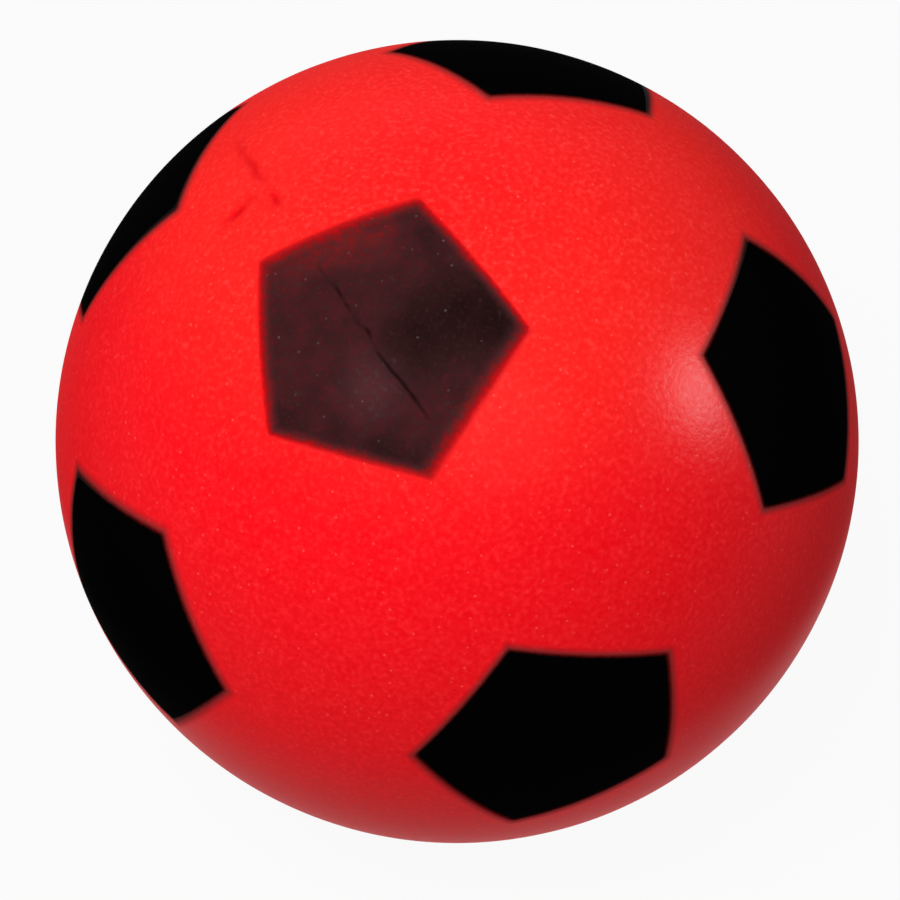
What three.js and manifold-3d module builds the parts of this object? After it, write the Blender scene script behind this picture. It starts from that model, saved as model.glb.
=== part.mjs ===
// Foam football: one solid ball of soft red foam, printed with the traditional pattern of twelve
// black pentagons. The ink soaks a little way into the foam, so each print is a thin curved plate
// of inked foam, which lies in a seat of its own shape, level with the surface of the ball.
//
// Millimetres, +Z up, origin at the centre of the ball. The axes run through the middles of the
// pattern's edges: +Z comes out halfway between the two top prints, and -Y faces the viewer.

import * as THREE from 'three';
import { mergeVertices } from 'three/addons/utils/BufferGeometryUtils.js';
import Module from 'manifold-3d';

// Foam ball
const BALL_DIAMETER = 200;

// Pentagon prints, with the first length measured over the curved surface
const CENTRE_TO_CORNER = 35;
const CORNER_ROUNDING = 1.5;
const INK_DEPTH = 1.2;

// Room left between a print and the foam at its sides and under it
const SEAT_CLEARANCE = 0.3;

// How far the cutter of a seat stands out of the ball, to open the surface cleanly
const CUTTER_OVERRUN = 2;

// Fineness of the faceted surfaces
const FOAM_SUBDIVISIONS = 15;
const PRINT_RINGS = 3;
const SIDE_STEPS = 4;
const CORNER_STEPS = 2;

// Colours and surface finish
const FOAM_RED = 0xe01b22;
const DENSE_INK = 0x0a0909;
const THIN_INK = 0x3c1a1d;
const FOAM_ROUGHNESS = 0.7;
const INK_ROUGHNESS = 0.8;

// Where the prints lie
//
// The twelve centres are the corners of an icosahedron, whose coordinates are 0, 1 and the
// golden ratio. The pads that print a ball press it out of shape, so a print lands a little off
// its true place: drift is how far to the east and to the north, over the surface, and turn is
// its twist in degrees, anticlockwise seen from outside. Prints with neither are true.
const GOLDEN = (1 + Math.sqrt(5)) / 2;
const PRINTS = [
  { name: 'ink_top_front', centre: [0, -1, GOLDEN], drift: [-1.5, 0.8], turn: 1, ink: THIN_INK },
  { name: 'ink_top_back', centre: [0, 1, GOLDEN], drift: [-0.3, 0.6] },
  { name: 'ink_right_upper', centre: [GOLDEN, 0, 1], drift: [1, -1], turn: 2 },
  { name: 'ink_right_lower', centre: [GOLDEN, 0, -1] },
  { name: 'ink_left_upper', centre: [-GOLDEN, 0, 1], drift: [-3.5, -0.5], turn: 0.5 },
  { name: 'ink_left_lower', centre: [-GOLDEN, 0, -1] },
  { name: 'ink_front_right', centre: [1, -GOLDEN, 0], drift: [3.5, -3], turn: 2 },
  { name: 'ink_front_left', centre: [-1, -GOLDEN, 0], drift: [-2.8, 2.4], turn: 0.5 },
  { name: 'ink_back_right', centre: [1, GOLDEN, 0] },
  { name: 'ink_back_left', centre: [-1, GOLDEN, 0] },
  { name: 'ink_bottom_front', centre: [0, -1, -GOLDEN] },
  { name: 'ink_bottom_back', centre: [0, 1, -GOLDEN] },
];

const BALL_RADIUS = BALL_DIAMETER / 2;
const PENTAGON_SIDES = 5;
const HALF_SIDE_TURN = Math.PI / PENTAGON_SIDES;

const manifold = await Module();
manifold.setup();

// Closed geometry as a solid that can be cut. Only positions count, so seams in normals or in
// texture coordinates are merged away.
function toSolid(geometry) {
  const bare = new THREE.BufferGeometry();
  bare.setAttribute('position', geometry.getAttribute('position'));
  bare.setIndex(geometry.getIndex());
  const merged = mergeVertices(bare);
  const mesh = new manifold.Mesh({
    numProp: 3,
    vertProperties: Float32Array.from(merged.getAttribute('position').array),
    triVerts: Uint32Array.from(merged.getIndex().array),
  });
  return new manifold.Manifold(mesh);
}

// Cut solid as a geometry that can be shown.
function toGeometry(solid) {
  const mesh = solid.getMesh();
  const geometry = new THREE.BufferGeometry();
  geometry.setAttribute('position', new THREE.BufferAttribute(mesh.vertProperties, mesh.numProp));
  geometry.setIndex(new THREE.BufferAttribute(mesh.triVerts, 1));
  geometry.computeVertexNormals();
  return geometry;
}

// Outline of a print, or of its seat where clearance is the room round it, laid flat on the
// plane that touches a ball of radius 1 at the print's centre. Seen from the middle of the ball,
// straight lines on that plane run along great circles, as the sides of a football's patches do.
function flatPentagon(clearance) {
  const cornerAngle = CENTRE_TO_CORNER / BALL_RADIUS;
  const sideAngle = Math.atan(Math.tan(cornerAngle) * Math.cos(HALF_SIDE_TURN));
  const sideDistance = Math.tan(sideAngle + clearance / BALL_RADIUS);
  const rounding = (CORNER_ROUNDING + clearance) / BALL_RADIUS;
  const arcCentreDistance = (sideDistance - rounding) / Math.cos(HALF_SIDE_TURN);
  const path = new THREE.Path();
  for (let corner = 0; corner < PENTAGON_SIDES; corner += 1) {
    const bearing = Math.PI / 2 + corner * 2 * HALF_SIDE_TURN;
    path.absarc(
      arcCentreDistance * Math.cos(bearing),
      arcCentreDistance * Math.sin(bearing),
      rounding,
      bearing - HALF_SIDE_TURN,
      bearing + HALF_SIDE_TURN,
      false,
    );
  }
  path.closePath();
  return path.curves.flatMap((curve) => {
    const steps = curve.isLineCurve ? SIDE_STEPS : CORNER_STEPS;
    return curve.getPoints(steps).slice(0, -1);
  });
}

// Curved plate between two spheres about the middle of the ball, lying across +Z, with a flat
// outline thrown out onto both. Rings of points, drawn in towards the centre of the outline,
// make its two faces follow the spheres.
function curvedPlate(outline, innerRadius, outerRadius) {
  const positions = [];
  for (const radius of [outerRadius, innerRadius]) {
    positions.push(0, 0, radius);
    for (let ring = 1; ring <= PRINT_RINGS; ring += 1) {
      for (const point of outline) {
        const flat = point.clone().multiplyScalar(ring / PRINT_RINGS);
        positions.push(...new THREE.Vector3(flat.x, flat.y, 1).setLength(radius));
      }
    }
  }

  const inner = 1 + PRINT_RINGS * outline.length;
  const at = (ring, step) => {
    const along = step % outline.length;
    return ring === 0 ? 0 : 1 + (ring - 1) * outline.length + along;
  };
  const indices = [];
  for (let step = 0; step < outline.length; step += 1) {
    for (let ring = 0; ring < PRINT_RINGS; ring += 1) {
      const near = at(ring, step);
      const nearNext = at(ring, step + 1);
      const far = at(ring + 1, step);
      const farNext = at(ring + 1, step + 1);
      indices.push(near, far, farNext);
      indices.push(inner + near, inner + farNext, inner + far);
      if (ring > 0) {
        indices.push(near, farNext, nearNext);
        indices.push(inner + near, inner + nearNext, inner + farNext);
      }
    }
    const rim = at(PRINT_RINGS, step);
    const rimNext = at(PRINT_RINGS, step + 1);
    indices.push(inner + rim, inner + rimNext, rimNext);
    indices.push(inner + rim, rimNext, rim);
  }

  const geometry = new THREE.BufferGeometry();
  geometry.setAttribute('position', new THREE.Float32BufferAttribute(positions, 3));
  geometry.setIndex(indices);
  geometry.computeVertexNormals();
  return geometry;
}

// Turn that carries a plate from +Z to the place of a print. Each pentagon points a corner at
// the nearest one across the end of an axis, whose centre differs only in the sign of its 1.
function facing({ centre, drift = [0, 0], turn = 0 }) {
  const outward = new THREE.Vector3(...centre).normalize();
  const mirrored = centre.map((value) => (Math.abs(value) === 1 ? -value : value));
  const opposite = new THREE.Vector3(...mirrored);
  const sideways = new THREE.Vector3().crossVectors(opposite, outward).normalize();
  const toCorner = new THREE.Vector3().crossVectors(outward, sideways);
  const basis = new THREE.Matrix4().makeBasis(sideways, toCorner, outward);
  const truePlace = new THREE.Quaternion().setFromRotationMatrix(basis);

  const up = new THREE.Vector3(0, 0, 1);
  const east = new THREE.Vector3().crossVectors(up, outward).normalize();
  const north = new THREE.Vector3().crossVectors(outward, east);
  const shift = east.multiplyScalar(drift[0]).addScaledVector(north, drift[1]);
  const hinge = new THREE.Vector3().crossVectors(outward, shift).normalize();
  const slide = new THREE.Quaternion().setFromAxisAngle(hinge, shift.length() / BALL_RADIUS);
  const twist = new THREE.Quaternion().setFromAxisAngle(up, THREE.MathUtils.degToRad(turn));
  return slide.multiply(truePlace).multiply(twist);
}

// The ball, with a seat cut into it for each print.
function foamBody() {
  const floorRadius = BALL_RADIUS - INK_DEPTH - SEAT_CLEARANCE;
  const cutter = curvedPlate(flatPentagon(SEAT_CLEARANCE), floorRadius, BALL_RADIUS + CUTTER_OVERRUN);
  let body = toSolid(new THREE.IcosahedronGeometry(BALL_RADIUS, FOAM_SUBDIVISIONS));
  for (const print of PRINTS) {
    body = body.subtract(toSolid(cutter.clone().applyQuaternion(facing(print))));
  }
  const material = new THREE.MeshStandardMaterial({
    color: FOAM_RED,
    roughness: FOAM_ROUGHNESS,
    metalness: 0,
  });
  const mesh = new THREE.Mesh(toGeometry(body), material);
  mesh.name = 'foam_body';
  return mesh;
}

// One print: the foam that its ink has soaked into.
function inkPrint(print) {
  const geometry = curvedPlate(flatPentagon(0), BALL_RADIUS - INK_DEPTH, BALL_RADIUS);
  const material = new THREE.MeshStandardMaterial({
    color: print.ink ?? DENSE_INK,
    roughness: INK_ROUGHNESS,
    metalness: 0,
  });
  const mesh = new THREE.Mesh(geometry, material);
  mesh.name = print.name;
  mesh.quaternion.copy(facing(print));
  return mesh;
}

const ball = new THREE.Group();
ball.name = 'foam_ball';
ball.add(foamBody());
ball.add(...PRINTS.map(inkPrint));

export default ball;
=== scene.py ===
"""Soft foam football with twelve printed pentagons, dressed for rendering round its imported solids.

The ball is modelled as one skin, an icosahedron with its corners cut off, blown up to a sphere.
Its pentagons are the prints and the rest is bare foam. Each print is then taken off as a thin
plate of inked foam, and the foam gets a seat of the same outline for it. Lengths are metres
unless a name or note says otherwise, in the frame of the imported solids: +Z up, -Y to the viewer.
"""

import logging
import math
from dataclasses import dataclass, field
from enum import Enum

import bmesh
import bpy
import numpy as np
from mathutils import Matrix, Quaternion, Vector


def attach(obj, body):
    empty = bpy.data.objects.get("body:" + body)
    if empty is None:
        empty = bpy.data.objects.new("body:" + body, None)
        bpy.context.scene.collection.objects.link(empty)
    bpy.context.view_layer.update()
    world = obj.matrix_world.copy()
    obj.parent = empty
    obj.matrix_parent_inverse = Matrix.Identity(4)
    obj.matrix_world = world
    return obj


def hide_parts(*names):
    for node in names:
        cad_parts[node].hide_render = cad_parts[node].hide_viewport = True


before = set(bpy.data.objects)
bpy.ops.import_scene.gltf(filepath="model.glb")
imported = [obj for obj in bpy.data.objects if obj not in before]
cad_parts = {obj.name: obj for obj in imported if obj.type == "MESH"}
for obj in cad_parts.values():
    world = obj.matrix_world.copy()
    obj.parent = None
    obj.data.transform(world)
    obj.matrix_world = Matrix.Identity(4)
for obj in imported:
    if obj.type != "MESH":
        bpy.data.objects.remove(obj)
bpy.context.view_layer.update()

BODY = "root"
MM = 0.001
ORIGIN = Vector((0.0, 0.0, 0.0))
UP = Vector((0.0, 0.0, 1.0))
GOLDEN = (1 + math.sqrt(5)) / 2
BALL_RADIUS = 0.1
PENTAGON_SIDES = 5
SHARP_ANGLE = math.radians(40)
WHITE = (1.0, 1.0, 1.0)

Colour = tuple[float, float, float]
Span = tuple[float, float]
Stops = tuple[tuple[float, Colour], ...]
Inputs = dict[str | int, object]

log = logging.getLogger("foam_ball")


class Ink(Enum):
    """How thickly a print's ink lies in the foam."""

    DENSE = "dense_ink"
    THIN = "thin_ink"

    @property
    def fullness(self) -> float:
        """Amount of ink in the middle of a print, where 1 is black."""
        return 1.0 if self is Ink.DENSE else 0.575


class Kept(Enum):
    """A number that the mesh keeps for each vertex, for the materials."""

    CREASE = "crease"
    INSET = "inset"
    FULLNESS = "fullness"


# Shader networks

# Blender's noise keeps near its middle, so it is spread out
NOISE_MIDDLE = 0.5
NOISE_GAIN = 4.0


class Signal:
    """An output of a shader network, on which Python's arithmetic adds Math nodes."""

    def __init__(self, sheet: "ShaderSheet", socket: bpy.types.NodeSocket) -> None:
        """Keeps the socket with the sheet that it is on."""
        self.sheet = sheet
        self.socket = socket

    def __add__(self, other: "Signal | float") -> "Signal":
        """Adds."""
        return self.sheet.math("ADD", self, other)

    def __radd__(self, other: float) -> "Signal":
        """Adds to a number."""
        return self.sheet.math("ADD", other, self)

    def __sub__(self, other: "Signal | float") -> "Signal":
        """Takes away."""
        return self.sheet.math("SUBTRACT", self, other)

    def __rsub__(self, other: float) -> "Signal":
        """Takes away from a number."""
        return self.sheet.math("SUBTRACT", other, self)

    def __mul__(self, other: "Signal | float") -> "Signal":
        """Multiplies."""
        return self.sheet.math("MULTIPLY", self, other)

    def __rmul__(self, other: float) -> "Signal":
        """Multiplies a number."""
        return self.sheet.math("MULTIPLY", other, self)

    def clamped(self) -> "Signal":
        """Held between 0 and 1."""
        return self.sheet.math("ADD", self, 0.0, clamp=True)

    def at_least(self, limit: float) -> "Signal":
        """Never below the limit."""
        return self.sheet.math("MAXIMUM", self, limit)

    def smooth(self, low: float, high: float) -> "Signal":
        """Rises smoothly from 0 to 1, or falls where low is the larger.

        Args:
            low: Where it is 0.
            high: Where it is 1.

        Returns:
            The rise.
        """
        settings = {"interpolation_type": "SMOOTHSTEP"}
        values = {"Value": self, "From Min": min(low, high), "From Max": max(low, high)}
        if low > high:
            values |= {"To Min": 1.0, "To Max": 0.0}
        return self.sheet.node("ShaderNodeMapRange", settings, values)


class ShaderSheet:
    """The node tree of one material or of the world, cleared for a new network."""

    def __init__(self, owner: "bpy.types.Material | bpy.types.World") -> None:
        """Clears the tree.

        Args:
            owner: The material or the world.
        """
        owner.use_nodes = True
        self.tree = owner.node_tree
        self.tree.nodes.clear()

    def node(
        self,
        kind: str,
        settings: dict[str, object] | None = None,
        values: Inputs | None = None,
        output: str | int = 0,
    ) -> Signal:
        """Adds any node.

        Args:
            kind: The node's type.
            settings: Its own properties, set before its sockets are filled, or a ramp's stops.
            values: What its input sockets hold, by name or number: a constant or a signal.
            output: The output socket to return.

        Returns:
            The output as a signal.
        """
        made = self.tree.nodes.new(kind)
        for name, value in (settings or {}).items():
            if name == "stops":
                set_stops(made.color_ramp, value)
            else:
                setattr(made, name, value)
        for name, value in (values or {}).items():
            socket = made.inputs[name]
            if isinstance(value, Signal):
                self.tree.links.new(value.socket, socket)
            else:
                socket.default_value = value
        return Signal(self, made.outputs[output]) if made.outputs else Signal(self, None)

    def math(
        self,
        operation: str,
        first: "Signal | float",
        second: "Signal | float",
        clamp: bool = False,
    ) -> Signal:
        """Adds a Math node.

        Args:
            operation: What it works out.
            first: A number or signal.
            second: Another.
            clamp: Whether the result is held between 0 and 1.

        Returns:
            The result.
        """
        settings = {"operation": operation, "use_clamp": clamp}
        return self.node("ShaderNodeMath", settings, {0: first, 1: second})

    def mix(self, share: Signal, first: Signal, second: "Signal | Colour") -> Signal:
        """Mixes two colours.

        Args:
            share: How much of the second colour there is, from 0 to 1.
            first: A colour from the network.
            second: Another, or a plain colour.

        Returns:
            The mixed colour.
        """
        settings = {"data_type": "RGBA", "clamp_factor": True}
        values = {0: share, 6: first, 7: as_rgba(second)}
        return self.node("ShaderNodeMix", settings, values, output=2)

    def scaled(self, colour: Signal, factor: Signal) -> Signal:
        """Multiplies a colour by a grey signal."""
        values = {0: colour, "Scale": factor}
        return self.node("ShaderNodeVectorMath", {"operation": "SCALE"}, values)

    def distance_from(self, place: Signal, point: Vector) -> Signal:
        """How far a place is from a fixed point, in metres."""
        values = {0: place, 1: point[:]}
        return self.node("ShaderNodeVectorMath", {"operation": "DISTANCE"}, values, output=1)

    def noise(self, place: Signal, feature: float, detail: float, seed: float = 0.0) -> Signal:
        """Soft noise, from about -1 to 1.

        Args:
            place: Where it is read.
            feature: Size of its features in metres.
            detail: Octaves of finer noise.
            seed: Moves the noise to another place.

        Returns:
            The noise.
        """
        values = {"Vector": place, "W": seed, "Scale": 1 / feature, "Detail": detail}
        noise = self.node("ShaderNodeTexNoise", {"noise_dimensions": "4D"}, values, output=0)
        return (noise - NOISE_MIDDLE) * NOISE_GAIN


def set_stops(ramp: bpy.types.ColorRamp, stops: Stops) -> None:
    """Fills a colour ramp.

    Args:
        ramp: The ramp, as new, with two stops.
        stops: Position and colour of each stop, in order.
    """
    for position, _ in stops[1:-1]:
        ramp.elements.new(position)
    for element, (position, colour) in zip(ramp.elements, stops):
        element.position = position
        element.color = as_rgba(colour)


def as_rgba(colour: "Signal | Colour") -> "Signal | tuple[float, ...]":
    """A colour's four numbers, or a signal as it is."""
    return colour if isinstance(colour, Signal) else (*colour, 1.0)


# Finishes


@dataclass(frozen=True)
class FoamGrain:
    """The fine cells of soft foam, alike in bare and inked foam.

    Args:
        cell: Size of the light and dark cells.
        openness: How far below the mean a cell still counts as open.
        mottle: Size of the blotches.
        glint_spacing: Room for each painted glint.
        glint_radius: From a glint's middle to where it ends.
        glint_core: Share of that radius which has full strength.
        relief: Height of the cells.
        relief_share: How much of that height shows.
    """

    cell: float = 1.3 * MM
    openness: float = 0.5
    mottle: float = 5.0 * MM
    glint_spacing: float = 2.0 * MM
    glint_radius: float = 0.45 * MM
    glint_core: float = 0.2
    relief: float = 0.06 * MM
    relief_share: float = 0.3


class FoamSheet(ShaderSheet):
    """The sheet of a foam material, with the signals that its colours follow.

    They are the place on the piece, the height there as a share of the ball's radius, the
    light and dark cells and the blotches, both from about -1 to 1, and the open cells, which
    are the light ones alone, from 0 to about 2 and most of them faint.
    """

    def __init__(self, material: bpy.types.Material, grain: FoamGrain) -> None:
        """Clears the material and adds the signals.

        Args:
            material: The material.
            grain: The foam's grain.
        """
        super().__init__(material)
        self.grain = grain
        self.place = self.node("ShaderNodeTexCoord", output="Object")
        height = self.node("ShaderNodeSeparateXYZ", {}, {0: self.place}, output="Z")
        self.height = height * (1 / BALL_RADIUS)
        self.cells = self.noise(self.place, grain.cell, detail=1.0)
        self.blotches = self.noise(self.place, grain.mottle, detail=3.0, seed=3.0)
        lit = (self.cells + grain.openness).at_least(0.0)
        self.open_cells = lit * lit

    def glints(self, dull_share: float) -> Signal:
        """Sparse painted glints: light specks in the colour where a bright cell lies open, standing
        in for the light it catches.

        Args:
            dull_share: Share of the open cells that don't catch the light.

        Returns:
            Up to 1 in the middle of each speck, and 0 round it.
        """
        grain = self.grain
        values = {"Vector": self.place, "Scale": 1 / grain.glint_spacing, "Randomness": 1.0}
        away, chance = (
            self.node("ShaderNodeTexVoronoi", {"feature": "F1"}, values, output=name)
            for name in ("Distance", "Color")
        )
        chance = self.node("ShaderNodeSeparateColor", {}, {0: chance})
        reach = grain.glint_radius / grain.glint_spacing
        return away.smooth(reach, grain.glint_core * reach) * chance.smooth(dull_share, 1.0)

    def relief(self) -> Signal:
        """The normal of a surface that has the cells as relief."""
        sizes = {"Strength": self.grain.relief_share, "Distance": self.grain.relief}
        return self.node("ShaderNodeBump", {}, {**sizes, "Height": self.cells})

    def seen_low(self, turned_away: Span = (0.2, 0.7)) -> Signal:
        """Rises from 0 to 1 where the surface is seen at a low angle, as cells hide its gloss."""
        facing = self.node("ShaderNodeLayerWeight", {}, {"Blend": 0.5}, output="Facing")
        return facing.smooth(*turned_away)

    def stored(self, kept: Kept) -> Signal:
        """A number that the mesh keeps for each vertex."""
        return self.node("ShaderNodeAttribute", {"attribute_name": kept.value}, output="Fac")


@dataclass(frozen=True)
class Spot:
    """A round patch of the top front print where the ink lies thicker or thinner, or where a grey
    highlight is painted on it.

    Args:
        east: Its middle, in millimetres from the print's true centre over the surface.
        north: The same to the north.
        reach: Its radius in millimetres, at which it has faded out.
        gain: What it adds in its middle.
    """

    east: float
    north: float
    reach: float
    gain: float

    def spread(self, sheet: FoamSheet) -> Signal:
        """What it adds at each place."""
        away = sheet.distance_from(sheet.place, TOP_FRONT.point(self.east, self.north))
        return away.smooth(self.reach * MM, 0.0) * self.gain


@dataclass(frozen=True)
class InkedFoam:
    """Red foam under black ink, from none to a deep matt black.

    One ramp gives the colour by the amount of ink in a dense print, and one in a thin print.
    Other colours are mixed in by a share from 0 to 1. A pair of numbers says where something
    starts and where it is whole. Heights are shares of the ball's radius, from its middle.

    Args:
        slot: The record's material slot, which is the material's name too.
        specular: Specular level.
        grit: Share of the grit's colour in the lightest cells under ink.
        spots: Where the ink lies thicker or thinner.
        painted_highlight: Where a grey highlight of the key lamp is painted on the ink.
        grain: The foam's grain.
        dense_from: Fullness of the ink that makes a print dense.
        bare_under: Amount of thin ink under which the foam starts to show as bare.
        inked_from: Amount of ink for grit and glints.
        ink_in_blotches: What the blotches add to ink that has spots.
        ink_in_cells: What the cells add to it.
        ragged_edge: What the cells add to the inset, which makes soft edges uneven.
        cell_shade: How much lighter or darker the cells are.
        bloom_and_sheen: Pale red of open cells and blotches in bare foam, and of its painted glints
            and the painted sheen on its cells towards the top.
        painted_top_sheen: Paler red painted on bare foam just under the top of the ball, as the key
            lamp's sheen there.
        painted_top_sheen_heights: Where it starts, where there is most of it and where it would end.
        dull_bare: Share of the open cells in bare foam that get no painted glint.
        dull_inked: The same under ink.
        upper_heights: Where low angles start to make the foam rougher, and where they fully do.
        lower_share: How much of that the foam below has.
    """

    slot: str
    specular: float
    grit: float = 0.0
    spots: tuple[Spot, ...] = ()
    # Painted highlight: a grey patch painted where the key lamp's reflection falls on the ink.
    painted_highlight: tuple[Spot, ...] = ()
    grain: FoamGrain = FoamGrain()
    dense_from: Span = (0.7, 0.9)
    bare_under: float = 0.12
    inked_from: Span = (0.15, 0.45)
    ink_in_blotches: float = 0.06
    ink_in_cells: float = 0.09
    ragged_edge: float = 0.04
    cell_shade: float = 0.06
    # Pale red of the foam's own cells and blotches, also used for its painted glints and painted
    # sheen.
    bloom_and_sheen: Colour = (1.0, 0.13, 0.12)
    bloom_all_over: float = 0.014
    bloom_in_cells: float = 0.048
    # Painted sheen: paler cells towards the top of the ball.
    painted_sheen_in_top_cells: float = 0.045
    bloom_in_blotches: float = 0.015
    # Painted glints: light specks in the colour for light caught by open cells.
    painted_glints_in_bloom: float = 0.42
    painted_sheen_heights: Span = (0.5, 1.0)
    # Painted sheen: a paler red just under the top of the ball, where the key lamp's gloss falls.
    painted_top_sheen: Colour = (1.0, 0.13, 0.03)
    painted_top_sheen_share: float = 0.075
    painted_top_sheen_heights: tuple[float, float, float] = (0.5, 0.85, 1.15)
    dull_bare: float = 0.4
    dull_inked: float = 0.75
    # Colour of the painted glints under ink.
    painted_glint_colour: Colour = (0.5, 0.42, 0.38)
    painted_glint_share: float = 0.12
    grit_colour: Colour = (0.14, 0.055, 0.055)
    # Grey of the painted highlight of the key lamp.
    painted_highlight_colour: Colour = (0.15, 0.08, 0.085)
    painted_highlight_evenly: float = 0.6
    painted_highlight_in_cells: float = 0.5
    # Darker creases: partly painted shade of the folds, partly a darker tone of the foam in them.
    bare_crease_tone_and_shade: Colour = (0.66, 0.0006, 0.004)
    inked_crease_tone_and_shade: Colour = (0.006, 0.002, 0.002)
    inked_crease_tone_and_shade_share: float = 0.85
    roughness: float = 0.3
    cell_roughness: float = 0.05
    ink_roughness: float = 0.35
    low_angle_roughness: float = 0.45
    upper_heights: Span = (-0.2, 0.1)
    lower_share: float = 0.4
    dense_stops: Stops = (
        (0.0, (0.88, 0.0022, 0.008)),
        (0.2, (0.704, 0.004, 0.0085)),
        (0.42, (0.51, 0.008, 0.0115)),
        (0.58, (0.37, 0.014, 0.016)),
        (0.68, (0.28, 0.013, 0.0145)),
        (0.77, (0.2025, 0.0105, 0.011)),
        (0.845, (0.1365, 0.0065, 0.0065)),
        (0.91, (0.08, 0.0033, 0.0033)),
        (0.98, (0.018, 0.0012, 0.0012)),
        (1.0, (0.0006, 0.0006, 0.0006)),
    )
    thin_stops: Stops = (
        (0.0, (0.88, 0.0022, 0.008)),
        (0.13, (0.43, 0.0034, 0.005)),
        (0.24, (0.235, 0.004, 0.006)),
        (0.33, (0.142, 0.0075, 0.0085)),
        (0.42, (0.082, 0.0082, 0.0095)),
        (0.51, (0.051, 0.0078, 0.0098)),
        (0.6, (0.032, 0.0064, 0.0076)),
        (0.68, (0.0192, 0.0046, 0.0046)),
        (0.8, (0.0085, 0.0017, 0.0014)),
        (1.0, (0.0002, 0.0002, 0.0002)),
    )

    def material(self) -> bpy.types.Material:
        """Builds the material.

        Returns:
            The material.
        """
        material = bpy.data.materials.new(self.slot)
        sheet = FoamSheet(material, self.grain)
        amount = self._ink(sheet)
        dense = sheet.stored(Kept.FULLNESS).smooth(*self.dense_from)
        bare = amount.smooth(self.bare_under, 0.0) * (1.0 - dense) + (1.0 - amount) * dense
        thinly, densely = (
            sheet.node("ShaderNodeValToRGB", {"stops": stops}, {0: amount})
            for stops in (self.thin_stops, self.dense_stops)
        )
        colour = sheet.mix(dense, thinly, densely)
        colour = sheet.scaled(colour, 1.0 + sheet.cells * self.cell_shade)
        colour = sheet.mix(self._bloom_and_sheen(sheet) * bare, colour, self.bloom_and_sheen)
        # Painted sheen of the key lamp, just under the top of the ball.
        colour = sheet.mix(self._painted_top_sheen(sheet) * bare, colour, self.painted_top_sheen)
        if self.grit:
            inked = amount.smooth(*self.inked_from)
            colour = sheet.mix(sheet.open_cells * self.grit * inked, colour, self.grit_colour)
            # Painted glints under ink: light specks in the colour for light caught by open cells.
            glints = sheet.glints(self.dull_inked) * self.painted_glint_share
            colour = sheet.mix(glints * inked, colour, self.painted_glint_colour)
        # Painted highlight: a grey patch painted where the key lamp's reflection falls on the ink.
        if self.painted_highlight:
            painted_highlight_share = sum(spot.spread(sheet) for spot in self.painted_highlight)
            painted_highlight_share = painted_highlight_share * (sheet.open_cells * self.painted_highlight_in_cells + self.painted_highlight_evenly)
            colour = sheet.mix(painted_highlight_share, colour, self.painted_highlight_colour)
        values = {
            # The creases are darkened here, partly as painted shade.
            "Base Color": self._crease_tone_and_shade(sheet, colour, bare),
            "Roughness": self._roughness(sheet, bare),
            "Normal": sheet.relief(),
            "Specular IOR Level": self.specular,
        }
        shader = sheet.node("ShaderNodeBsdfPrincipled", {}, values)
        sheet.node("ShaderNodeOutputMaterial", {}, {"Surface": shader})
        return material

    def _ink(self, sheet: FoamSheet) -> Signal:
        """How much ink there is.

        Args:
            sheet: The material's sheet.

        Returns:
            The amount, from 0 to 1.
        """
        full = sheet.stored(Kept.FULLNESS)
        if self.spots:
            full = full + sum(spot.spread(sheet) for spot in self.spots)
            full = full + sheet.blotches * self.ink_in_blotches + sheet.cells * self.ink_in_cells
        edge = sheet.stored(Kept.INSET) + sheet.cells * self.ragged_edge
        return (edge.smooth(0.0, 1.0) * full).clamped()

    def _bloom_and_sheen(self, sheet: FoamSheet) -> Signal:
        """How much pale red bare foam has: its own in open cells and blotches, with painted glints
        and painted sheen on the cells towards the top.

        Args:
            sheet: The material's sheet.

        Returns:
            The pale red's share.
        """
        # Painted sheen: paler cells towards the top, where the gloss makes them stand out.
        top = sheet.height.smooth(*self.painted_sheen_heights)
        in_cells = sheet.open_cells * (self.bloom_in_cells + top * self.painted_sheen_in_top_cells)
        share = self.bloom_all_over + in_cells + sheet.blotches * self.bloom_in_blotches
        # Painted glints in bare foam.
        return share + sheet.glints(self.dull_bare) * self.painted_glints_in_bloom

    def _painted_top_sheen(self, sheet: FoamSheet) -> Signal:
        """Share of the painted sheen, most of it just under the top of the ball, where the key
        lamp's gloss falls.
        """
        low, most, high = self.painted_top_sheen_heights
        return sheet.height.smooth(low, most) * sheet.height.smooth(high, most) * self.painted_top_sheen_share

    def _crease_tone_and_shade(self, sheet: FoamSheet, colour: Signal, bare: Signal) -> Signal:
        """Darkens the creases, more under ink than in bare foam: partly painted shade of the folds
        and partly a darker tone of the foam in them.

        Args:
            sheet: The material's sheet.
            colour: The colour so far.
            bare: 1 on bare foam and 0 under full ink.

        Returns:
            The colour with the creases.
        """
        # Painted shade in the folds, with a darker tone of the foam in them.
        crease = sheet.stored(Kept.CREASE)
        colour = sheet.mix(crease * bare, colour, self.bare_crease_tone_and_shade)
        inked = crease * self.inked_crease_tone_and_shade_share * (1.0 - bare)
        return sheet.mix(inked, colour, self.inked_crease_tone_and_shade)

    def _roughness(self, sheet: FoamSheet, bare: Signal) -> Signal:
        """How rough the surface is: more under ink and, mostly in the upper half, at low angles.

        Args:
            sheet: The material's sheet.
            bare: 1 on bare foam and 0 under full ink.

        Returns:
            The roughness.
        """
        upper = sheet.height.smooth(*self.upper_heights) * (1 - self.lower_share)
        low = sheet.seen_low() * (upper + self.lower_share)
        rough = self.roughness + sheet.cells * self.cell_roughness + low * self.low_angle_roughness
        return (rough + (1.0 - bare) * self.ink_roughness).clamped()


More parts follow.
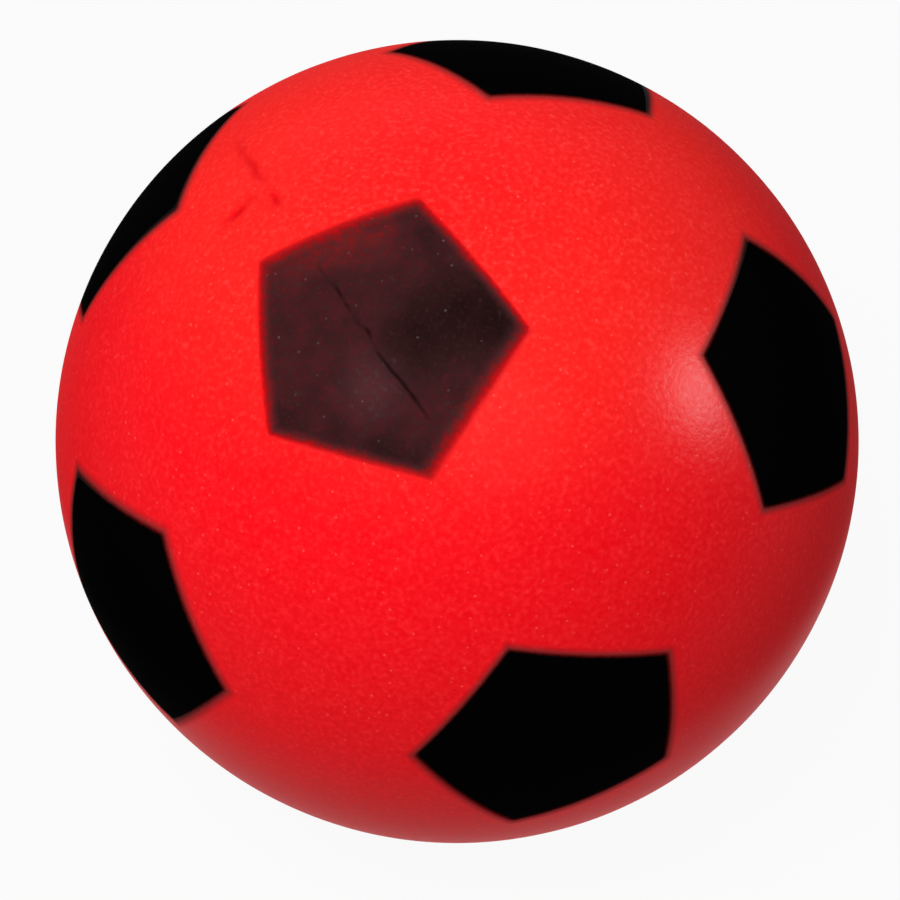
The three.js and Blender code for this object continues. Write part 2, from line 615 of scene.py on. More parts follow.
RED_FOAM = InkedFoam("red_foam", specular=0.053)
DENSE_INK = InkedFoam("dense_ink", specular=0.0015)
THIN_INK = InkedFoam(
    "thin_ink",
    specular=0.02,
    grit=0.06,
    spots=(
        Spot(22, 12, 17, 0.24),
        Spot(8, 4, 15, 0.19),
        Spot(10, -6, 12, 0.06),
        Spot(11, 16, 12, 0.06),
        Spot(4, 27, 10, 0.05),
        Spot(-4, -26, 8, 0.06),
        Spot(7, -25, 9, 0.09),
        Spot(15, -26, 8, 0.08),
        Spot(-18, -26, 9, 0.1),
        Spot(-28, 11, 11, -0.13),
        Spot(-19, 18.5, 11, -0.16),
        Spot(-10, 23, 11, -0.15),
        Spot(15, -13, 9, -0.03),
        Spot(2, -12, 9, -0.04),
    ),
    # A painted highlight of the key lamp, as a grey patch on the ink.
    painted_highlight=(Spot(1, -12, 12, 0.14),),
)


# Where the prints and creases lie

# How far into a soft edge its middle is, and the least and most inset that the mesh keeps
EDGE_MIDDLE = 0.5
INSET_LIMITS = (-1.0, 3.0)


@dataclass(frozen=True)
class PrintPlace:
    """Place of one print on the ball.

    Args:
        name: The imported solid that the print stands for.
        centre: Direction of its true centre, a corner of an icosahedron.
        drift: How far it slid when it was printed, in millimetres east and north.
        turn: Its twist in degrees, anticlockwise from outside.
        bleed: Width in millimetres of the soft edge along each side, from the side that follows
            its first corner, anticlockwise from outside.
        drawn_in: How far in from the outline the middle of that soft edge lies at the first
            and at the last corner of each side, in millimetres.
        ink: How thickly the ink lies.
    """

    name: str
    centre: tuple[float, float, float]
    drift: tuple[float, float] = (0.0, 0.0)
    turn: float = 0.0
    bleed: tuple[float, ...] = (3.4,) * PENTAGON_SIDES
    drawn_in: tuple[tuple[float, float], ...] = ((-0.9, -0.9),) * PENTAGON_SIDES
    ink: Ink = Ink.DENSE

    @property
    def outward(self) -> Vector:
        """Direction of the true centre from the middle of the ball."""
        return Vector(self.centre).normalized()

    @property
    def east(self) -> Vector:
        """Direction over the surface, anticlockwise round the upright axis."""
        return UP.cross(self.outward).normalized()

    @property
    def north(self) -> Vector:
        """Direction over the surface, to the top."""
        return self.outward.cross(self.east)

    def point(self, east: float, north: float) -> Vector:
        """Point on the ball, measured over the surface from the true centre.

        Args:
            east: Millimetres east.
            north: Millimetres north.

        Returns:
            The point.
        """
        away = math.hypot(east, north) * MM
        if away == 0:
            return self.outward * BALL_RADIUS
        heading = (self.east * east + self.north * north).normalized()
        angle = away / BALL_RADIUS
        return (self.outward * math.cos(angle) + heading * math.sin(angle)) * BALL_RADIUS

    @property
    def slip(self) -> Quaternion:
        """Turn about the middle of the ball from the true place to the printed one."""
        shift = self.east * self.drift[0] + self.north * self.drift[1]
        twist = Quaternion(self.outward, math.radians(self.turn))
        if shift.length == 0:
            return twist
        hinge = self.outward.cross(shift).normalized()
        return Quaternion(hinge, shift.length * MM / BALL_RADIUS) @ twist

    @property
    def to_corner(self) -> Vector:
        """Direction of the first corner from the true centre, towards the nearest print."""
        mirrored = Vector([-value if abs(value) == 1 else value for value in self.centre])
        sideways = mirrored.cross(self.outward).normalized()
        return self.outward.cross(sideways)

    @property
    def middle(self) -> Vector:
        """Middle of the print on the ball, where it was printed."""
        return self.slip @ self.outward * BALL_RADIUS

    def corners(self, centre_to_corner: float) -> list[Vector]:
        """The print's corners on the ball, where it was printed.

        Args:
            centre_to_corner: Length over the surface.

        Returns:
            The corners, anticlockwise from outside.
        """
        angle = centre_to_corner / BALL_RADIUS
        first = self.outward * math.cos(angle) + self.to_corner * math.sin(angle)
        turns = [
            Quaternion(self.outward, corner * math.tau / PENTAGON_SIDES)
            for corner in range(PENTAGON_SIDES)
        ]
        return [self.slip @ turn @ first * BALL_RADIUS for turn in turns]

    def inset(self, points: np.ndarray, centre_to_corner: float) -> np.ndarray:
        """How far into the print's soft edge points are.

        Args:
            points: Places on the ball, one in a row.
            centre_to_corner: Length over the surface.

        Returns:
            0 or less outside the soft edge, 1 or more where full ink lies.
        """
        corners = self.corners(centre_to_corner)
        reach = np.full(len(points), np.inf)
        for side, ((start, end), width) in enumerate(zip(self.drawn_in, self.bleed)):
            first, last = corners[side], corners[(side + 1) % PENTAGON_SIDES]
            inwards = first.cross(last).normalized() * MM
            edge = (first + inwards * start).cross(last + inwards * end).normalized()
            reach = np.minimum(reach, points @ np.array(edge) / (width * MM) + EDGE_MIDDLE)
        return reach


TOP_FRONT = PrintPlace(
    "ink_top_front",
    (0, -1, GOLDEN),
    drift=(-1.5, 0.8),
    turn=1,
    bleed=(6.2, 5.2, 4.6, 7.0, 4.5),
    drawn_in=((0.85, 0.35), (0.5, 2.1), (1.0, -0.2), (1.1, 1.6), (1.7, 1.9)),
    ink=Ink.THIN,
)
PRINTS = (
    TOP_FRONT,
    PrintPlace(
        "ink_top_back",
        (0, 1, GOLDEN),
        drift=(-0.3, 0.6),
        bleed=(5.0, 2.7, 3.4, 4.0, 4.3),
        drawn_in=((-1.2, -0.3), (-1.6, -2.4), (-0.9, -0.9), (-1.1, -1.3), (-0.8, -1.3)),
    ),
    PrintPlace(
        "ink_right_upper",
        (GOLDEN, 0, 1),
        drift=(1, -1),
        turn=2,
        bleed=(5.0, 4.4, 3.2, 3.4, 3.2),
        drawn_in=((-1.7, -1.6), (-1.2, -0.6), (-2.0, -0.6), (-0.8, -0.7), (-1.0, -0.6)),
    ),
    PrintPlace("ink_right_lower", (GOLDEN, 0, -1)),
    PrintPlace(
        "ink_left_upper",
        (-GOLDEN, 0, 1),
        drift=(-3.5, -0.5),
        turn=0.5,
        bleed=(3.4, 4.6, 4.4, 3.4, 3.4),
        drawn_in=((-1.0, -0.6), (-0.8, -3.2), (-2.4, -1.4), (-0.9, -0.9), (-0.9, -0.9)),
    ),
    PrintPlace("ink_left_lower", (-GOLDEN, 0, -1)),
    PrintPlace(
        "ink_front_right",
        (1, -GOLDEN, 0),
        drift=(3.5, -3),
        turn=2,
        bleed=(4.1, 5.3, 3.8, 3.5, 3.1),
        drawn_in=((0.1, -0.5), (-1.1, -1.3), (-0.7, -0.6), (-0.3, -1.1), (-1.1, -1.1)),
    ),
    PrintPlace(
        "ink_front_left",
        (-1, -GOLDEN, 0),
        drift=(-2.8, 2.4),
        turn=0.5,
        bleed=(5.0, 4.7, 4.0, 4.0, 4.0),
        drawn_in=((-0.6, -0.2), (-0.7, -2.7), (-1.7, -1.2), (-1.1, -1.4), (-1.7, -1.4)),
    ),
    PrintPlace("ink_back_right", (1, GOLDEN, 0)),
    PrintPlace("ink_back_left", (-1, GOLDEN, 0)),
    PrintPlace("ink_bottom_front", (0, -1, -GOLDEN)),
    PrintPlace("ink_bottom_back", (0, 1, -GOLDEN)),
)


def smooth_between(a: float, b: float, c: float, d: float, along: float) -> float:
    """Value between the two middle ones of four, on a smooth curve through them.

    Args:
        a: The one before.
        b: Where the curve starts.
        c: Where it ends.
        d: The one after.
        along: Share of the way.

    Returns:
        The value.
    """
    slope = (c - a) / 2
    bend = a - 2.5 * b + 2 * c - d / 2
    twist = 1.5 * (b - c) + (d - a) / 2
    return b + along * (slope + along * (bend + along * twist))


@dataclass(frozen=True)
class Crease:
    """A shallow fold in the foam's skin, where the two halves of its mould met.

    Args:
        name: Name of its group of vertices while it is pressed in.
        course: Its points, as millimetres east and north of the top front print's centre, each
            with the share of the full depth that it has there.
        width: Half its width at half its depth, in millimetres.
        depth: Its depth in millimetres.
        steps: Steps of the smooth curve between two points.
    """

    name: str
    course: tuple[tuple[float, float, float], ...]
    width: float
    depth: float
    steps: int = 4

    def _route(self) -> list[tuple[float, float, float, float]]:
        """The course as a smooth curve over the ball.

        Returns:
            Its points in metres, each with its share of the full depth.
        """
        ends = [self.course[0], *self.course, self.course[-1]]
        route = []
        for four in zip(ends, ends[1:], ends[2:], ends[3:]):
            for step in range(self.steps):
                along = step / self.steps
                east, north, share = (smooth_between(*values, along) for values in zip(*four))
                route.append((*TOP_FRONT.point(east, north), share))
        return route

    def reach(self, points: np.ndarray) -> tuple[np.ndarray, np.ndarray]:
        """Where points lie from the crease.

        Args:
            points: Places on the ball, one in a row.

        Returns:
            Their distance from it, and the share of the full depth that it has beside them.
        """
        nearest = np.full(len(points), np.inf)
        share = np.zeros(len(points))
        route = self._route()
        for (*begin, first), (*finish, last) in zip(route, route[1:]):
            start, end = np.array(begin), np.array(finish)
            along = end - start
            step = np.clip((points - start) @ along / (along @ along), 0, 1)
            gap = np.linalg.norm(points - start - step[:, None] * along, axis=1)
            closer = gap < nearest
            nearest = np.where(closer, gap, nearest)
            share = np.where(closer, first + step * (last - first), share)
        return nearest, share

    def fold(self, points: np.ndarray) -> np.ndarray:
        """How deep in the crease points are, from 0 to 1."""
        gap, share = self.reach(points)
        return share * np.exp(-math.log(2) * (gap / (self.width * MM)) ** 2)


CREASES = (
    Crease(
        "inked_line",
        (
            (-21.4, 13.8, 0.0), (-19.5, 12.0, 0.35), (-17.3, 10.5, 0.1), (-15.0, 9.2, 0.3),
            (-13.9, 8.3, 0.85), (-12.5, 6.9, 0.7), (-11.7, 6.1, 0.25), (-10.7, 5.3, 0.8),
            (-9.6, 4.4, 0.5), (-8.2, 3.2, 0.12), (-6.4, 1.6, 0.5), (-5.1, 1.2, 0.3),
            (-3.7, 0.4, 0.95), (-2.4, -1.2, 0.3), (-1.2, -2.6, 0.2), (0.0, -3.9, 0.65),
            (2.3, -5.6, 0.9), (4.8, -7.4, 1.0), (6.4, -8.3, 1.0), (9.0, -10.2, 0.95),
            (10.8, -11.5, 1.0), (12.9, -13.2, 0.7), (15.4, -15.2, 0.4), (16.6, -16.3, 0.0),
        ),
        width=0.28,
        depth=0.5,
    ),
    Crease(
        "upper_left_line",
        (
            (-63.4, 49.0, 0.3), (-60.2, 45.6, 0.5), (-55.7, 41.9, 0.6), (-51.5, 38.9, 0.9),
            (-49.3, 36.3, 0.8), (-46.6, 34.9, 0.6), (-44.0, 32.7, 0.15), (-41.5, 30.6, 0.6),
            (-39.2, 28.7, 1.0), (-37.6, 27.3, 0.6), (-36.6, 26.6, 0.0),
        ),
        width=1.1,
        depth=0.4,
    ),
    Crease(
        "upper_left_branch",
        (
            (-43.4, 29.4, 0.15), (-46.1, 28.5, 0.5), (-47.2, 26.8, 0.6), (-48.2, 24.9, 1.0),
            (-49.6, 22.8, 0.9), (-50.8, 21.0, 0.5), (-51.3, 17.6, 0.15),
        ),
        width=1.2,
        depth=0.35,
    ),
)


# Modelling


def pick_only(piece: bpy.types.Object) -> None:
    """Makes a piece the only selected object and the active one.

    Args:
        piece: The piece.
    """
    bpy.ops.object.select_all(action="DESELECT")
    piece.select_set(True)
    bpy.context.view_layer.objects.active = piece


def edit(piece: bpy.types.Object, kind: str = "FACE") -> None:
    """Opens a piece in edit mode.

    Args:
        piece: The piece.
        kind: What is selected in it: FACE or VERT.
    """
    pick_only(piece)
    bpy.ops.object.mode_set(mode="EDIT")
    bpy.ops.mesh.select_mode(type=kind)


def close() -> None:
    """Leaves edit mode."""
    bpy.ops.object.mode_set(mode="OBJECT")


def select_faces(piece: bpy.types.Object, wanted: np.ndarray) -> None:
    """Opens a piece in edit mode with the wanted faces selected and nothing else.

    Args:
        piece: The piece.
        wanted: One True or False for each face.
    """
    edit(piece)
    bpy.ops.mesh.select_all(action="DESELECT")
    close()
    piece.data.polygons.foreach_set("select", np.ascontiguousarray(wanted))
    bpy.ops.object.mode_set(mode="EDIT")


def edit_all(piece: bpy.types.Object, kind: str = "FACE") -> None:
    """Opens a piece in edit mode with all of it selected."""
    edit(piece, kind)
    bpy.ops.mesh.select_all(action="SELECT")


def places_of(elements: bpy.types.bpy_prop_collection, name: str) -> np.ndarray:
    """Where a mesh's vertices or faces are.

    Args:
        elements: The vertices or faces.
        name: What their place is called in them.

    Returns:
        Their places, one in a row.
    """
    places = np.empty(len(elements) * 3)
    elements.foreach_get(name, places)
    return places.reshape(-1, 3)


def vertex_places(piece: bpy.types.Object) -> np.ndarray:
    """Where a piece's vertices are."""
    return places_of(piece.data.vertices, "co")


def face_places(piece: bpy.types.Object) -> np.ndarray:
    """Where the middles of a piece's faces are."""
    return places_of(piece.data.polygons, "center")


def face_patches(piece: bpy.types.Object) -> np.ndarray:
    """The patches that a skin's faces belong to.

    Args:
        piece: The skin.

    Returns:
        A number for each face: 0 for foam, and 1 up for the prints.
    """
    patches = np.empty(len(piece.data.polygons), dtype=np.int32)
    piece.data.polygons.foreach_get("material_index", patches)
    return patches


def turn_selection(turn: Quaternion) -> None:
    """Turns what is selected about the middle of the ball.

    Args:
        turn: The turn to make. With no window the operator turns the other way, so each angle
            has its sign changed.
    """
    for axis, angle in zip("XYZ", turn.to_euler("XYZ")):
        bpy.ops.transform.rotate(value=-angle, orient_axis=axis, center_override=ORIGIN)


def shrink_selection(factor: float, middle: Vector = ORIGIN) -> None:
    """Scales what is selected about a point."""
    bpy.ops.transform.resize(value=(factor,) * 3, center_override=middle)


def apply_modifier(piece: bpy.types.Object, kind: str, **settings: object) -> None:
    """Adds a modifier to a piece and applies it.

    Args:
        piece: The piece.
        kind: The modifier's type.
        settings: Its properties.
    """
    pick_only(piece)
    modifier = piece.modifiers.new(kind.lower(), kind)
    for name, value in settings.items():
        setattr(modifier, name, value)
    bpy.ops.object.modifier_apply(modifier=modifier.name)


def store(piece: bpy.types.Object, kept: Kept, values: np.ndarray) -> None:
    """Keeps a number for each vertex, for the piece's material."""
    attribute = piece.data.attributes.new(kept.value, "FLOAT", "POINT")
    attribute.data.foreach_set("value", values.astype(np.float32))


@dataclass
class BallSkin:
    """The ball's whole surface as one mesh, whose edges follow the sides of the prints.

    Args:
        radius: The ball's radius.
        centre_to_corner: From the middle of a print to its corners, over the surface.
        corner_rounding: Radius of a print's corners.
        cuts: Cuts across each side of the first triangles.
        crease_cuts: Further cuts beside the creases.
        crease_margin: How far past a crease's width they go.
        least_fold: Share of a crease's depth under which nothing is pressed in.
        swell: Height of the foam's swells.
        swell_size: Their size over the surface.
        piece: The mesh, once it is begun.
    """

    radius: float = BALL_RADIUS
    centre_to_corner: float = 35 * MM
    corner_rounding: float = 1.5 * MM
    cuts: int = 31
    crease_cuts: int = 4
    crease_margin: float = 0.6 * MM
    least_fold: float = 0.01
    swell: float = 0.12 * MM
    swell_size: float = 24 * MM
    piece: bpy.types.Object = field(init=False)

    def model(self) -> bpy.types.Object:
        """Models the skin.

        Returns:
            The mesh, each face numbered with its patch in material_index.
        """
        self._cut_icosahedron()
        self._number_patches()
        self._slip_prints()
        self._divide()
        self._round_corners()
        self._refine_creases()
        self._roughen()
        self._press_creases()
        self._ink()
        return self.piece

    def _cut_icosahedron(self) -> None:
        """Starts with an icosahedron whose corners are cut off to the size of the prints."""
        tilt = math.atan(1 / GOLDEN)
        edge_angle = 2 * tilt
        corner_angle = self.centre_to_corner / self.radius
        slope = math.tan(corner_angle)
        share = slope / (math.sin(edge_angle) + slope * (1 - math.cos(edge_angle)))
        bpy.ops.object.select_all(action="DESELECT")
        bpy.ops.mesh.primitive_ico_sphere_add(
            subdivisions=1, radius=self.radius, rotation=(0, -tilt, math.pi / 2)
        )
        self.piece = bpy.context.object
        bpy.ops.object.transform_apply(location=False, rotation=True, scale=False)
        edit_all(self.piece, "VERT")
        bpy.ops.mesh.bevel(
            offset_type="PERCENT", offset_pct=100 * share, segments=1, affect="VERTICES"
        )
        close()

    def _number_patches(self) -> None:
        """Gives each pentagon the number of its print, and the rest 0."""
        outwards = np.array([place.outward for place in PRINTS])
        middles = face_places(self.piece)
        nearest = np.argmax(middles @ outwards.T, axis=1) + 1
        sides = np.array([len(face.vertices) for face in self.piece.data.polygons])
        patches = np.where(sides == PENTAGON_SIDES, nearest, 0).astype(np.int32)
        self.piece.data.polygons.foreach_set("material_index", patches)

    def _slip_prints(self) -> None:
        """Moves each print from its true place to where it was printed."""
        for number, place in enumerate(PRINTS, start=1):
            select_faces(self.piece, face_patches(self.piece) == number)
            turn_selection(place.slip)
            close()

    def _divide(self) -> None:
        """Divides the faces finely and blows them up to the sphere."""
        edit_all(self.piece)
        bpy.ops.mesh.poke()
        bpy.ops.mesh.select_all(action="SELECT")
        bpy.ops.mesh.subdivide(number_cuts=self.cuts)
        close()
        self._blow_up()

    def _blow_up(self) -> None:
        """Moves every vertex out to the sphere."""
        apply_modifier(
            self.piece,
            "CAST",
            cast_type="SPHERE",
            factor=1.0,
            radius=0.0,
            size=self.radius,
            use_radius_as_size=False,
        )

    def _round_corners(self) -> None:
        """Draws in the tip of each corner of a print, as a rounded corner does."""
        half_corner = math.pi / 2 - math.pi / PENTAGON_SIDES
        tip = self.corner_rounding * (1 / math.sin(half_corner) - 1)
        places = vertex_places(self.piece)
        edit(self.piece, "VERT")
        mesh = bmesh.from_edit_mesh(self.piece.data)
        mesh.verts.ensure_lookup_table()
        for place in PRINTS:
            bpy.ops.mesh.select_all(action="DESELECT")
            for corner in place.corners(self.centre_to_corner):
                gaps = np.linalg.norm(places - np.array(corner), axis=1)
                mesh.verts[int(np.argmin(gaps))].select_set(True)
            shrink_selection(1 - tip / self.centre_to_corner, place.middle)
        close()

    def _refine_creases(self) -> None:
        """Divides the faces beside the creases further."""
        middles = face_places(self.piece)
        near = np.zeros(len(middles), dtype=bool)
        for crease in CREASES:
            gap, _ = crease.reach(middles)
            near |= gap < crease.width * MM + self.crease_margin
        select_faces(self.piece, near)
        bpy.ops.mesh.subdivide(number_cuts=self.crease_cuts)
        bpy.ops.mesh.select_all(action="SELECT")
        bpy.ops.mesh.quads_convert_to_tris()
        close()
        self._blow_up()

    def _roughen(self) -> None:
        """Gives the sphere the slight swells of soft foam."""
        swells = bpy.data.textures.new("foam_swells", "CLOUDS")
        swells.noise_scale = self.swell_size
        apply_modifier(
            self.piece,
            "DISPLACE",
            texture=swells,
            texture_coords="LOCAL",
            mid_level=0.5,
            strength=self.swell,
        )

    def _press_creases(self) -> None:
        """Presses the creases in, and keeps their depth for the materials."""
        places = vertex_places(self.piece)
        folds = np.zeros(len(places))
        for crease in CREASES:
            fold = crease.fold(places)
            group = self.piece.vertex_groups.new(name=crease.name)
            for vertex in np.flatnonzero(fold > self.least_fold):
                group.add([int(vertex)], float(fold[vertex]), "REPLACE")
            folds = np.maximum(folds, fold)
            apply_modifier(
                self.piece,
                "DISPLACE",
                vertex_group=group.name,
                mid_level=0.0,
                strength=-crease.depth * MM,
            )
        self.piece.vertex_groups.clear()
        store(self.piece, Kept.CREASE, folds)

    def _ink(self) -> None:
        """Keeps for the materials how far into a print each vertex is, and how full its ink is."""
        places = vertex_places(self.piece)
        insets = np.array([place.inset(places, self.centre_to_corner) for place in PRINTS])
        fullness = np.array([place.ink.fullness for place in PRINTS])
        store(self.piece, Kept.INSET, np.clip(insets.max(axis=0), *INSET_LIMITS))
        store(self.piece, Kept.FULLNESS, fullness[insets.argmax(axis=0)])


@dataclass
class InkPrint:
    """One print: a thin curved plate of foam, level with the ball, that the ink soaked into.

    Args:
        place: Where it lies.
        depth: How deep the ink goes.
        taper: Size of its underside as a share of its face, which leaves room in its seat.
    """

    place: PrintPlace
    depth: float = 1.2 * MM
    taper: float = 0.99

    def build(self, plate: bpy.types.Object) -> None:
        """Makes a closed plate of the print's patch of skin.

        Args:
            plate: The patch, as taken off the ball.
        """
        plate.name = self.place.name.replace("ink_", "pentagon_")
        plate.data.name = plate.name
        edit_all(plate)
        bpy.ops.mesh.extrude_region()
        shrink_selection(1 - self.depth / BALL_RADIUS)
        shrink_selection(self.taper, self.place.middle)
        bpy.ops.mesh.select_all(action="SELECT")
        bpy.ops.mesh.normals_make_consistent(inside=False)
        close()
        bpy.ops.object.shade_smooth_by_angle(angle=SHARP_ANGLE)

    def dress(self, plate: bpy.types.Object, finish: bpy.types.Material) -> None:
        """Gives the plate its finish and its place in the frame.

        Args:
            plate: The plate.
            finish: Its material.
        """
        set_finish(plate, finish)
        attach(plate, BODY)
        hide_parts(self.place.name)


@dataclass
class FoamBody:
    """The ball of soft foam, with a seat for each print.

    Args:
        seat_depth: Depth of the seats.
        fill: How full it is as padding, 1 for a solid ball with no slack. It is not used.
        finish: Its finish.
    """

    seat_depth: float = 1.3 * MM
    fill: float = 1.0
    finish: InkedFoam = RED_FOAM

    def build(self, skin: bpy.types.Object) -> bpy.types.Object:
        """Sinks the prints' faces of the skin, so that it becomes the foam body.

        Args:
            skin: The ball's whole surface, from which the prints have been taken off.

        Returns:
            The body.
        """
        select_faces(skin, face_patches(skin) > 0)
        bpy.ops.mesh.extrude_region()
        shrink_selection(1 - self.seat_depth / BALL_RADIUS)
        close()
        bpy.ops.object.shade_smooth_by_angle(angle=SHARP_ANGLE)
        skin.name = "red_foam_ball"
        skin.data.name = skin.name
        return skin

    def dress(self, body: bpy.types.Object) -> None:
        """Gives the body its finish and its place in the frame.

        Args:
            body: The body.
        """
        set_finish(body, self.finish.material())
        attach(body, BODY)
        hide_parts("foam_body")


def take_off_prints(skin: bpy.types.Object) -> list[bpy.types.Object]:
    """Copies the prints off the skin.

    Args:
        skin: The ball's whole surface.

    Returns:
        One open patch for each print.
    """
    select_faces(skin, face_patches(skin) > 0)
    bpy.ops.mesh.duplicate()
    bpy.ops.mesh.separate(type="SELECTED")
    close()
    together = next(one for one in bpy.context.selected_objects if one != skin)
    edit_all(together)
    bpy.ops.mesh.separate(type="LOOSE")
    close()
    return list(bpy.context.selected_objects)


def set_finish(piece: bpy.types.Object, finish: bpy.types.Material) -> None:
    """Gives a piece one material all over.

    Args:
        piece: The piece.
        finish: The material.
    """
    piece.data.materials.clear()
    piece.data.materials.append(finish)
    patches = np.zeros(len(piece.data.polygons), dtype=np.int32)
    piece.data.polygons.foreach_set("material_index", patches)


@dataclass
class FoamBall:
    """The finished ball: its foam body and its twelve prints.

    Args:
        skin: Its surface, from which both are made.
        body: The foam body.
        dense: Finish of the dense prints.
        thin: Finish of the thin one.
    """

    skin: BallSkin = field(default_factory=BallSkin)
    body: FoamBody = field(default_factory=FoamBody)
    dense: InkedFoam = DENSE_INK
    thin: InkedFoam = THIN_INK

    def build(self) -> None:
        """Builds and dresses every piece of the ball."""
        skin = self.skin.model()
        log.info("skin: %d faces", len(skin.data.polygons))
        finishes = {Ink.DENSE: self.dense.material(), Ink.THIN: self.thin.material()}
        for plate in take_off_prints(skin):
            place = PRINTS[plate.data.polygons[0].material_index - 1]
            print_piece = InkPrint(place)
            print_piece.build(plate)
            print_piece.dress(plate, finishes[place.ink])
            log.info("%s: %d faces", plate.name, len(plate.data.polygons))
        body = self.body.build(skin)
        self.body.dress(body)
        log.info("%s: %d faces", body.name, len(body.data.polygons))


# Studio


@dataclass(frozen=True)
class SoftLamp:
    """A square soft lamp that faces the ball.

    Args:
        name: Its name.
        azimuth: Degrees round the ball from the front, anticlockwise from above.
        elevation: Degrees above the level of the ball's middle.
        distance: From the ball's middle.
        size: Side of its square.
        watts: Its power.
        gloss_only: Whether it shows only in the gloss, as a far window does.
    """

    name: str
    azimuth: float
    elevation: float
    distance: float
    size: float
    watts: float
    gloss_only: bool = False

    def build(self) -> None:
        """Hangs the lamp."""
        data = bpy.data.lights.new(self.name, "AREA")
        data.shape = "SQUARE"
        data.size = self.size
        data.energy = self.watts
        lamp = bpy.data.objects.new(self.name, data)
        lamp.visible_diffuse = not self.gloss_only
        bpy.context.scene.collection.objects.link(lamp)
        away = heading(self.azimuth, self.elevation)
        lamp.location = away * self.distance
        lamp.rotation_mode = "QUATERNION"
        lamp.rotation_quaternion = away.to_track_quat("Z", "Y")


def heading(azimuth: float, elevation: float) -> Vector:
    """Direction from the ball's middle, by degrees round from the front and above level."""
    a, e = math.radians(azimuth), math.radians(elevation)
    return Vector((math.sin(a) * math.cos(e), -math.cos(a) * math.cos(e), math.sin(e)))


@dataclass(frozen=True)
class PhotoCamera:
    """The camera, by how the ball lies in the square picture.

    Args:
        azimuth: Degrees round the ball from the front, anticlockwise from above.
        elevation: Degrees above the level of the ball's middle.
        roll: Its tilt in degrees, anticlockwise as it looks.
        distance: From the ball's middle.
        picture_px: Side of the picture.
        ball_radius_px: Radius of the ball's outline.
        ball_middle_px: Where the ball's middle is, from the left and from the top.
        sensor_mm: Side of the sensor.
        clip: Nearest and furthest that it sees.
    """

    azimuth: float = 19.145
    elevation: float = 45.867
    roll: float = 0.76
    distance: float = 1.0189
    picture_px: float = 900
    ball_radius_px: float = 401.64
    ball_middle_px: tuple[float, float] = (457.09, 441.45)
    sensor_mm: float = 36
    clip: Span = (0.01, 100)

    def build(self) -> None:
        """Sets the camera up and makes it the scene's."""
        back = heading(self.azimuth, self.elevation)
        level = heading(self.azimuth + 90, 0)
        upright = back.cross(level)
        tip = math.radians(self.roll)
        right = level * math.cos(tip) + upright * math.sin(tip)
        above = back.cross(right)
        data = bpy.data.cameras.new("photo_camera")
        radii_away = self.distance / BALL_RADIUS
        focal_px = self.ball_radius_px * math.sqrt(radii_away**2 - 1)
        data.sensor_width = self.sensor_mm
        data.lens = focal_px * self.sensor_mm / self.picture_px
        middle = self.picture_px / 2
        data.shift_x = (middle - self.ball_middle_px[0]) / self.picture_px
        data.shift_y = (self.ball_middle_px[1] - middle) / self.picture_px
        data.clip_start, data.clip_end = self.clip
        camera = bpy.data.objects.new("photo_camera", data)
        bpy.context.scene.collection.objects.link(camera)
        camera.matrix_world = Matrix.LocRotScale(
            back * self.distance, Matrix((right, above, back)).transposed(), None
        )
        bpy.context.scene.camera = camera


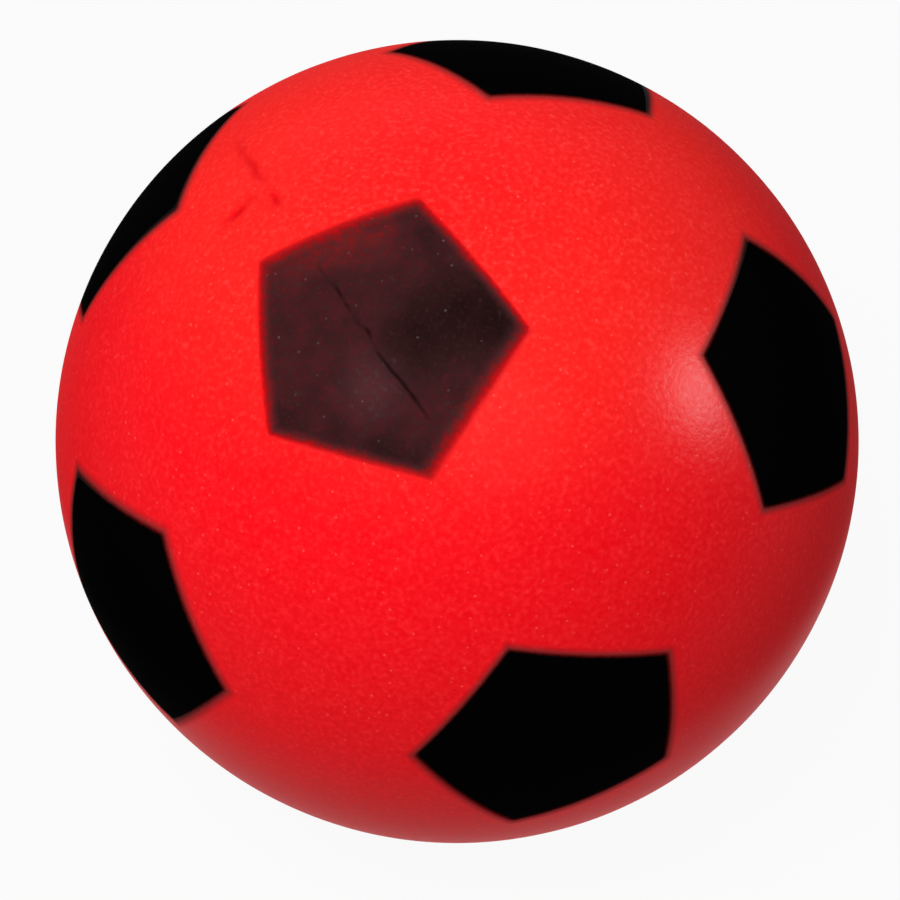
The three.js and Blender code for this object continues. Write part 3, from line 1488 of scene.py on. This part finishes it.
@dataclass
class Studio:
    """Plain pale floor, pale surroundings and soft lamps.

    Args:
        floor_side: Side of the square floor.
        floor_grey: The floor's colour in the light that it gives back.
        floor_white_share: Share of plain white in the floor as it is seen.
        ambient: Strength of the even light from all round.
        lamps: The lamps.
        camera: The camera.
    """

    floor_side: float = 12.0
    floor_grey: float = 0.4
    floor_white_share: float = 0.94
    ambient: float = 0.14
    lamps: tuple[SoftLamp, ...] = (
        SoftLamp("key_lamp", -20, 62, 1.3, 0.7, 16.5),
        SoftLamp("side_lamp", 36, 48, 1.3, 0.7, 3.1),
        SoftLamp("back_lamp", 180, 38, 1.3, 0.7, 0.6),
        SoftLamp("low_back_lamp", -150, 12, 1.3, 0.7, 1.2),
        SoftLamp("gloss_lamp", 104, 23, 1.2, 0.3, 14.0, gloss_only=True),
    )
    camera: PhotoCamera = field(default_factory=PhotoCamera)

    def build(self) -> None:
        """Builds floor, surroundings, lamps and camera."""
        self._floor()
        self._surroundings()
        for lamp in self.lamps:
            lamp.build()
            log.info("%s: %.1f W", lamp.name, lamp.watts)
        self.camera.build()
        bpy.context.scene.view_settings.view_transform = "Standard"

    def _seen(self, sheet: ShaderSheet) -> Signal:
        """1 for rays that show the background itself, in sight, in gloss or through glass."""
        rays = ("Is Camera Ray", "Is Glossy Ray", "Is Transmission Ray")
        return sum(sheet.node("ShaderNodeLightPath", output=ray) for ray in rays).clamped()

    def _floor(self) -> None:
        """A wide pale floor under the ball, which keeps its shadow."""
        bpy.ops.object.select_all(action="DESELECT")
        bpy.ops.mesh.primitive_plane_add(size=self.floor_side, location=(0, 0, -BALL_RADIUS))
        floor = bpy.context.object
        floor.name = "studio_floor"
        bpy.ops.object.transform_apply(location=True, rotation=False, scale=True)
        material = bpy.data.materials.new("studio_floor")
        sheet = ShaderSheet(material)
        grey = as_rgba((self.floor_grey,) * 3)
        paint = sheet.node("ShaderNodeBsdfDiffuse", {}, {"Color": grey})
        glow = sheet.node("ShaderNodeEmission", {}, {"Color": as_rgba(WHITE)})
        share = self._seen(sheet) * self.floor_white_share
        mixed = sheet.node("ShaderNodeMixShader", {}, {0: share, 1: paint, 2: glow})
        sheet.node("ShaderNodeOutputMaterial", {}, {"Surface": mixed})
        floor.data.materials.append(material)

    def _surroundings(self) -> None:
        """Even pale light from all round, and white where it is seen."""
        world = bpy.data.worlds.new("studio")
        bpy.context.scene.world = world
        sheet = ShaderSheet(world)
        strength = self.ambient + self._seen(sheet) * (1 - self.ambient)
        values = {"Color": as_rgba(WHITE), "Strength": strength}
        light = sheet.node("ShaderNodeBackground", {}, values)
        sheet.node("ShaderNodeOutputWorld", {}, {"Surface": light})


def main() -> None:
    """Builds the ball and the studio round it."""
    logging.basicConfig(level=logging.INFO, format="%(name)s %(message)s")
    FoamBall().build()
    Studio().build()


if __name__ == "__main__":
    main()
